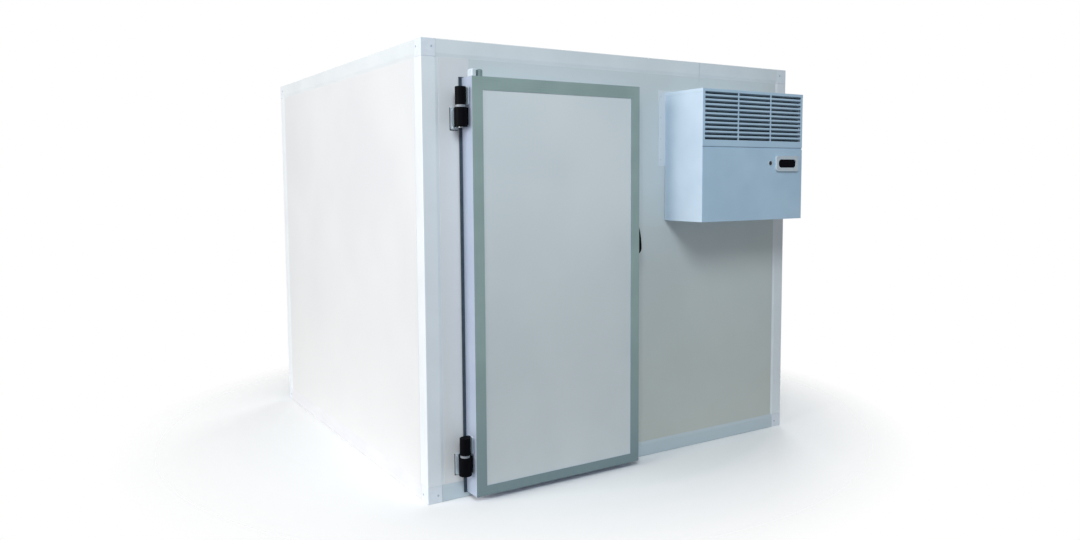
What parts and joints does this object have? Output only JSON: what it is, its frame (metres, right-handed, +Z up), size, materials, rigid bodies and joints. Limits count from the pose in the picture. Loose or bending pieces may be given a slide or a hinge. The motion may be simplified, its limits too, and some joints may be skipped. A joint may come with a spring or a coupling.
{
  "type": "walk-in cold room",
  "caption": "Box-shaped walk-in cold room of insulated panels, with an overlapping hinged door that lifts as it opens and a louvred cooling unit hung on the front wall.",
  "frame": {"origin": "middle of the room's square footprint, on the ground", "axes": "+Z up, +X to the right along the front wall as seen from outside, +Y from the front wall to the back wall"},
  "size_m": [2.4, 2.714, 2.2],
  "materials": {
    "panel_skin": "smooth pale blue-grey coil-coated steel",
    "rail_skin": "smooth pale blue-grey coated profile",
    "corner_plastic": "moulded pale grey corner block",
    "leaf_aluminium": "satin grey-green anodised profile",
    "leaf_sheet": "smooth pale coated sheet",
    "frame_plastic": "extruded grey frame profile",
    "sill_steel": "brushed stainless sill",
    "seal_rubber": "soft dark sealing rubber",
    "hinge_black": "black glass-filled nylon casting",
    "cam_nylon": "natural white nylon",
    "hinge_plate_grey": "light grey coated plate",
    "pin_steel": "turned steel",
    "cap_white": "white moulded cap",
    "unit_paint": "light blue-grey powder coat",
    "bezel_plastic": "white moulded bezel",
    "display_dark": "dark glossy display window",
    "coil_fins": "dark aluminium fin block",
    "flange_sheet": "coated mounting flange"
  },
  "bodies": {
    "room": {"floor_panel": "panel_skin", "ceiling_panel": "panel_skin", "left_wall": "panel_skin", "right_wall": "panel_skin", "back_wall": "panel_skin", "front_wall_left": "panel_skin", "front_wall_over_door": "panel_skin", "front_wall_right": "panel_skin", "corner_posts": "rail_skin", "bottom_rails": "rail_skin", "top_rails": "rail_skin", "bottom_corner_blocks": "corner_plastic", "top_corner_blocks": "corner_plastic", "door_jamb_left": "frame_plastic", "door_jamb_right": "frame_plastic", "door_head": "frame_plastic", "door_sill": "sill_steel", "hinge_wall_plates": "hinge_plate_grey", "hinge_wall_knuckles": "hinge_black", "latch_keeper": "hinge_black", "hinge_fixed_cams": "cam_nylon", "unit_casing": "unit_paint", "unit_lid": "unit_paint", "unit_grille": "unit_paint", "unit_front_cover": "unit_paint", "control_bezel": "bezel_plastic", "control_display": "display_dark", "unit_flange": "flange_sheet", "unit_plug": "flange_sheet", "unit_inner_cover": "flange_sheet", "condenser_coil": "coil_fins"},
    "hinge_pins_body": {"hinge_pins": "pin_steel"},
    "door": {"leaf_core": "leaf_sheet", "leaf_stile_hinge_side": "leaf_aluminium", "leaf_stile_latch_side": "leaf_aluminium", "leaf_rail_top": "leaf_aluminium", "leaf_rail_bottom": "leaf_aluminium", "leaf_gasket": "seal_rubber", "hinge_lift_cams": "cam_nylon", "hinge_leaf_knuckles": "hinge_black", "hinge_leaf_plates": "hinge_plate_grey", "leaf_corner_cap": "cap_white", "leaf_corner_buffer": "seal_rubber", "leaf_handle": "hinge_black", "inside_release": "hinge_black"}
  },
  "joints": [
    {"name": "door_swing", "type": "hinge", "parent": "room", "child": "hinge_pins_body", "pos_m": [-1.032, -1.264, 1.05], "axis": [0, 0, -1], "range_deg": [0, 120]},
    {"name": "door_rise", "type": "slide", "parent": "hinge_pins_body", "child": "door", "axis": [0, 0, 1], "range_m": [0, 0.00535]}
  ],
  "couplings": [
    {"joint": "door_rise", "follows": "door_swing", "m_per_rad": 0.0025465}
  ]
}
